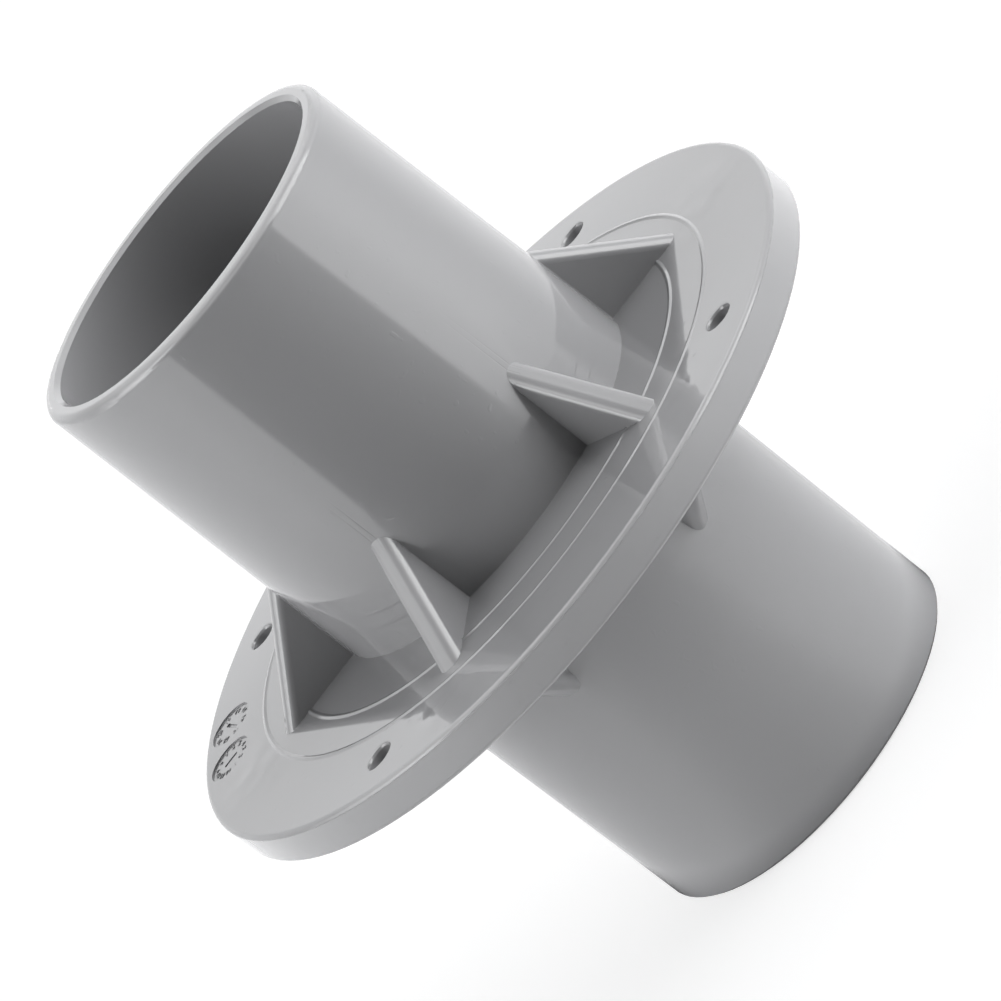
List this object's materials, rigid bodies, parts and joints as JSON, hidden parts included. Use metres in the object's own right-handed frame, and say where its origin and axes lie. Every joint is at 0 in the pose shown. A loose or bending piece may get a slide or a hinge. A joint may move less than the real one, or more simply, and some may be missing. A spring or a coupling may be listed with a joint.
{
  "type": "wall sleeve pipe",
  "caption": "Moulded pipe sleeve with a round wall flange at mid length, braced by gusset ribs, for leading a pipe through a wall.",
  "frame": {"origin": "centre of the base end of the tube, on the tube's axis", "axes": "+Z along the tube's axis from the base end to the mouth, and +X through one gusset rib"},
  "size_m": [0.1304, 0.1304, 0.1265],
  "materials": {
    "grey_plastic": "smooth, glossy mid grey, as moulded"
  },
  "bodies": {
    "root": {"wall_sleeve": "grey_plastic"}
  },
  "joints": []
}
